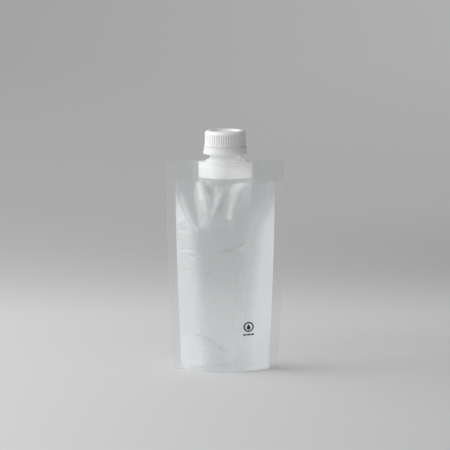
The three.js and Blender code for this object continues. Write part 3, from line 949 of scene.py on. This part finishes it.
def tamper_band():
    inner = BEAD_RADIUS + RUNNING_GAP
    lip = NECK_RADIUS + RUNNING_GAP
    collar_top = BAND_BASE + BAND_COLLAR
    taper = (BAND_BASE_RADIUS - BAND_TOP_RADIUS) * BAND_TAPER
    profile = [
        (inner, BAND_TOP),
        (inner, LIP_TOP + BAND_EDGE),
        (lip, LIP_TOP),
        (lip, LIP_TOP - BAND_LIP_HEIGHT / 3),
        (inner, BAND_BASE + BAND_EDGE),
        (inner + BAND_EDGE, BAND_BASE),
        (BAND_BASE_RADIUS, BAND_BASE),
        (BAND_BASE_RADIUS - taper, collar_top - BAND_EDGE),
        (BAND_TOP_RADIUS + taper, collar_top + BAND_EDGE),
        (BAND_TOP_RADIUS, BAND_TOP),
    ]
    piece = lathe("band_ring", rounded(profile, BAND_CORNER))
    smooth_by_angle(piece, degrees=40)
    return piece


def ribbed(radius, height, angle):
    """Moves the cap's outer wall: out in a skirt at its foot, and in between its ribs."""
    low = CAP_BASE + CAP_RIB_START
    high = CAP_TOP - CAP_SHOULDER_HEIGHT + RIB_HEAD
    inside, outside = CAP_BORE_RADIUS + RIB_WALL_INSIDE, CAP_WALL_RADIUS - RIB_WALL_OUTSIDE
    outer = smoothstep(radius, inside, outside)
    run = smoothstep(height, low - RIB_FOOT, low) * (1 - smoothstep(height, high - RIB_HEAD, high))
    wave = 0.5 + 0.5 * np.cos(angle * CAP_RIB_COUNT)
    groove = 1 - smoothstep(wave, *GROOVE_SPAN)
    skirt = CAP_SKIRT * (1 - smoothstep(height, CAP_BASE, CAP_BASE + CAP_SKIRT_HEIGHT))
    return radius + outer * (CAP_RIB_DEPTH + skirt - (CAP_RIB_DEPTH + GROOVE_EXTRA) * run * groove)


def cap():
    shoulder_base = CAP_TOP - CAP_SHOULDER_HEIGHT
    foot = CAP_BASE - SLIT_CLOSED
    rim = CAP_RIM_RADIUS - CAP_EDGE
    hollow = [
        (0, DECK_BASE),
        (CAP_BORE_RADIUS - CAP_DECK_CHAMFER, DECK_BASE),
        (CAP_BORE_RADIUS, DECK_BASE - CAP_DECK_CHAMFER),
        (CAP_BORE_RADIUS, foot + CAP_FOOT_CHAMFER),
        (CAP_BORE_RADIUS + CAP_FOOT_CHAMFER, foot),
        (CAP_WALL_RADIUS - CAP_EDGE, foot),
    ]
    levels = np.linspace(foot + CAP_EDGE, shoulder_base, CAP_WALL_STEPS + 1)[:-1]
    wall = [(CAP_WALL_RADIUS, z) for z in levels]
    top = []
    for turn in np.linspace(0, math.pi / 2, CAP_SHOULDER_STEPS + 1):
        radius = rim + (CAP_WALL_RADIUS - CAP_RIM_RADIUS + CAP_EDGE) * math.cos(turn)
        top.append((radius, shoulder_base + CAP_SHOULDER_HEIGHT * math.sin(turn)))
    lip = CAP_RECESS_RADIUS + CAP_RECESS / 2
    recess = [(lip + out, CAP_TOP + up) for out, up in RECESS_LIP]
    recess += [(CAP_RECESS_RADIUS + out, RECESS_FLOOR + up) for out, up in RECESS_FOOT]
    recess.append((0, RECESS_FLOOR))
    profile = hollow + wall + top + recess
    piece = lathe("cap_moulding", profile, CAP_RIB_COUNT * CAP_RIB_STEPS, ribbed)
    last = THREAD_TURNS + CAP_THREAD_RUN_ON
    half_pitch = THREAD_LEAD / THREAD_STARTS / 2
    add_thread(piece, CAP_BORE_RADIUS, CAP_THREAD_RADIUS, CAP_THREAD_START, last, -half_pitch)
    smooth_by_angle(piece, degrees=35)
    return piece


def wad():
    profile = [
        (0, MOUTH),
        (WAD_RADIUS - WAD_EDGE, MOUTH),
        (WAD_RADIUS, MOUTH + WAD_EDGE),
        (WAD_RADIUS, DECK_BASE - WAD_EDGE),
        (WAD_RADIUS - WAD_EDGE, DECK_BASE),
        (0, DECK_BASE),
    ]
    piece = lathe("wad_disc", profile)
    smooth_by_angle(piece, degrees=50)
    return piece


# Printed mark, in millimetres: a ring with a drop in it, and plain bars below

MARK_CENTRE = (16.2, 31.6)
MARK_RADIUS = 3.55
MARK_LINE = 0.95
MARK_STEPS = 64
DROP_HALF_WIDTH = 1.8
DROP_HEIGHT = 4.1
DROP_LIFT = 0.1
DROP_POINT = 1.4
DROP_STEPS = 48
BARS = ((-3.7, 2.0), (-1.25, 2.5), (1.7, 2.0))
BAR_DROP = 2.45
BAR_HEIGHT = 1.1
BAR_STEPS = 5
RIBBON_SHARES = (0, 0.5, 1)
DISC_SHARES = (1, 0.66, 0.33)
INK_RISE = 0.03


def on_film(points):
    """Places in the mark's own plane, laid on the front web's outer face."""
    x, z = (np.asarray(points, dtype=float) + MARK_CENTRE).T
    return film_points(x, z, FILM_THICKNESS + INK_RISE, True)


def ribbon(outline_in, outline_out):
    """A closed ribbon between two like outlines."""
    layers = [lerp(outline_in, outline_out, share) for share in RIBBON_SHARES]
    return on_film(np.concatenate(layers)), ring_quads(len(layers), len(outline_in))


def disc(outline):
    """A filled outline, in rings towards its middle."""
    outline = np.array(outline)
    middle = outline.mean(axis=0)
    layers = [lerp(middle, outline, share) for share in DISC_SHARES]
    count = len(outline)
    innermost = (len(layers) - 1) * count
    centre = len(layers) * count
    faces = [[a, d, c, b] for a, b, c, d in ring_quads(len(layers), count)]
    for index in range(count):
        faces.append([innermost + index, centre, innermost + (index + 1) % count])
    return on_film(np.concatenate(layers + [middle[None]])), faces


def circle(radius):
    turn = full_turn(MARK_STEPS)
    return np.stack([radius * np.cos(turn), radius * np.sin(turn)], axis=1)


def drop_outline():
    """A drop: a round foot that narrows to a point above."""
    turn = np.linspace(0, 2 * np.pi, DROP_STEPS, endpoint=False)
    across = DROP_HALF_WIDTH * np.sin(turn) * np.sin(turn / 2) ** DROP_POINT
    return np.stack([across, DROP_HEIGHT * np.cos(turn) * 0.5 + DROP_LIFT], axis=1)


def bar_outline(x, z, width, height):
    across = np.linspace(0, width, BAR_STEPS)
    return [(x + a, z) for a in across] + [(x + a, z + height) for a in across[::-1]]


def printed_mark():
    patches = [ribbon(circle(MARK_RADIUS - MARK_LINE), circle(MARK_RADIUS)), disc(drop_outline())]
    for x, width in BARS:
        patches.append(disc(bar_outline(x, -MARK_RADIUS - BAR_DROP, width, BAR_HEIGHT)))
    points, faces = [], []
    for spots, quads in patches:
        start = sum(len(group) for group in points)
        points.append(spots)
        faces += [[start + index for index in face] for face in quads]
    return new_object("print_mark", np.concatenate(points), faces)


# Stage, camera and lights, in metres

CAMERA_DISTANCE = 3.6
CAMERA_LIFT = math.radians(6.9)
CAMERA_REACH = 50
TARGET = (-0.0002, 0.0, 0.1015)
FRAME_WIDTH = 0.315
SENSOR = 36.0

# Soft lights, each with its place, what it points at, its size and its radiance
LIGHTS = {
    "key": ((-1.82, -0.2, 1.1), (0, 0, 1.1), (1.5, 2.2), 3.0),
    "front": ((-1.17, -1.42, 1.1), (0, 0, 1.0), (1.2, 1.2), 2.9),
    "overhead": ((-0.5, 0.1, 1.6), (0, 0, 0.05), (0.8, 0.8), 1.2),
    "back": ((-1.3, 0.85, 0.75), (0, 0, 0.08), (0.9, 1.1), 2.2),
}
WORLD_COLOUR = (0.275, 0.275, 0.28, 1)

# Floor near the pouch: its grey, a faint glow that leans to one side, and where the backdrop starts
FLOOR_HALF = 9.0
FLOOR_GREY = 0.675
FLOOR_LIFT = 0.04
FLOOR_LEAN = -0.2
BACKDROP_START = (0.12, 0.26)

# Plain backdrop, painted light: its greys by distance, and how it leans in brightness from side to
# side, as the lamps' light falls over it
BACKDROP_REACH = (0.2, 0.8)
BACKDROP_SHADES = ((0.0, 0.57), (0.2, 0.553), (0.45, 0.447), (0.75, 0.4), (1.0, 0.397))
LEAN_REACH = (0.55, 0.95)
LEAN = (-0.78, -0.12)
FAR_LEAN_REACH = (0.95, 2.4)
FAR_LEAN = (0.0, 0.38)
LEAN_LIMITS = (0.8, 1.2)


def camera():
    data = bpy.data.cameras.new("camera")
    data.sensor_width = SENSOR
    data.lens = SENSOR * CAMERA_DISTANCE / FRAME_WIDTH
    data.clip_end = CAMERA_REACH
    view = bpy.data.objects.new("camera", data)
    view.location = (
        TARGET[0],
        TARGET[1] - CAMERA_DISTANCE * math.cos(CAMERA_LIFT),
        TARGET[2] + CAMERA_DISTANCE * math.sin(CAMERA_LIFT),
    )
    view.rotation_euler = (math.pi / 2 - CAMERA_LIFT, 0, 0)
    bpy.context.scene.collection.objects.link(view)
    bpy.context.scene.camera = view


def softbox(name, place, target, size, radiance):
    data = bpy.data.lights.new(name, "AREA")
    data.shape = "RECTANGLE"
    data.size, data.size_y = size
    data.energy = radiance * math.pi * size[0] * size[1]
    lamp = bpy.data.objects.new(name, data)
    way = Vector(target) - Vector(place)
    lamp.location = place
    lamp.rotation_euler = way.to_track_quat("-Z", "Y").to_euler()
    lamp.visible_camera = False
    bpy.context.scene.collection.objects.link(lamp)


def backdrop(tree, x, y):
    """Plain grey with painted light: it darkens with distance and leans a little from side to side,
    as the lamps' light falls off.
    """
    ramp = node(tree, "ShaderNodeValToRGB", {0: map_range(tree, y, BACKDROP_REACH)})
    ramp.color_ramp.interpolation = "B_SPLINE"
    stops = ramp.color_ramp.elements
    for position, _ in BACKDROP_SHADES[1:-1]:
        stops.new(position)
    for stop, (_, grey) in zip(stops, BACKDROP_SHADES):
        stop.color = (grey, grey, grey, 1)
    lean = map_range(tree, y, LEAN_REACH, LEAN)
    lean = math_node(tree, "ADD", lean, map_range(tree, y, FAR_LEAN_REACH, FAR_LEAN))
    side = math_node(tree, "MULTIPLY_ADD", x, lean, 1.0)
    side = math_node(tree, "MAXIMUM", side, LEAN_LIMITS[0])
    side = math_node(tree, "MINIMUM", side, LEAN_LIMITS[1])
    return node(tree, "ShaderNodeEmission", {"Color": ramp.outputs[0], "Strength": side})


def floor_material():
    """Pale floor near the pouch, easing with distance behind it into the plain grey backdrop."""
    material, tree, surface = new_material("stage")
    place = node(tree, "ShaderNodeNewGeometry").outputs["Position"]
    x, y, _ = node(tree, "ShaderNodeSeparateXYZ", {0: place}).outputs
    rays = node(tree, "ShaderNodeLightPath").outputs
    seen = math_node(tree, "MAXIMUM", rays["Is Camera Ray"], rays["Is Glossy Ray"])
    seen = math_node(tree, "MAXIMUM", seen, rays["Is Transmission Ray"])
    lift = math_node(tree, "MULTIPLY_ADD", x, FLOOR_LEAN, FLOOR_LIFT)
    glow = node(tree, "ShaderNodeEmission", {"Strength": math_node(tree, "MULTIPLY", seen, lift)})
    lit = node(tree, "ShaderNodeBsdfDiffuse", {"Color": (FLOOR_GREY, FLOOR_GREY, FLOOR_GREY, 1)})
    near = node(tree, "ShaderNodeAddShader", {0: lit.outputs[0], 1: glow.outputs[0]})
    away = map_range(tree, y, BACKDROP_START, interpolation_type="SMOOTHSTEP")
    share = math_node(tree, "MULTIPLY", seen, away)
    far = backdrop(tree, x, y)
    feed(tree, surface, mix_shader(tree, share, near.outputs[0], far.outputs[0]))
    return material


def stage():
    half = FLOOR_HALF
    corners = [(-half, -half, 0), (half, -half, 0), (half, half, 0), (-half, half, 0)]
    piece = new_object("floor", np.array(corners) / MM, [[0, 1, 2, 3]], smooth=False)
    piece.data.materials.append(floor_material())


def world():
    made = bpy.data.worlds.new("studio")
    made.use_nodes = True
    made.node_tree.nodes["Background"].inputs["Color"].default_value = WORLD_COLOUR
    bpy.context.scene.world = made


scene = bpy.context.scene
scene.view_settings.view_transform = "Standard"
scene.cycles.transparent_max_bounces = 32

camera()
world()
for name, settings in LIGHTS.items():
    softbox(name, *settings)
stage()

film = film_material()
white = moulding_material(
    "white_moulding", (0.872, 0.88, 0.876), roughness=0.42, translucency=0.25, bleed=0.0005
)
thin = moulding_material(
    "thin_moulding",
    (0.892, 0.9, 0.896),
    roughness=0.42,
    translucency=0.7,
    bleed=0.002,
    passing=0.65,
)
milky = moulding_material(
    "natural_moulding",
    (0.878, 0.881, 0.873),
    roughness=0.4,
    translucency=1.0,
    bleed=0.011,
    passing=0.92,
)
foam = moulding_material(
    "white_foam", (0.8, 0.8, 0.78), roughness=0.8, translucency=0.1, bleed=0.0015
)
ink = ink_material()

finish(web("front_web", front=True), "pouch", "clear_film", film, "front_film")
finish(web("back_web", front=False), "pouch", "clear_film", film, "back_film")
finish(gusset(), "pouch", "clear_film", film, "bottom_gusset")
finish(spout(), "pouch", "white_moulding", milky, "spout")
finish(tamper_band(), "band", "white_moulding", thin, "tamper_band")
finish(cap(), "cap", "white_moulding", white, "screw_cap")
finish(wad(), "wad", "white_foam", foam, "sealing_wad")
finish(printed_mark(), "pouch", "black_print", ink)
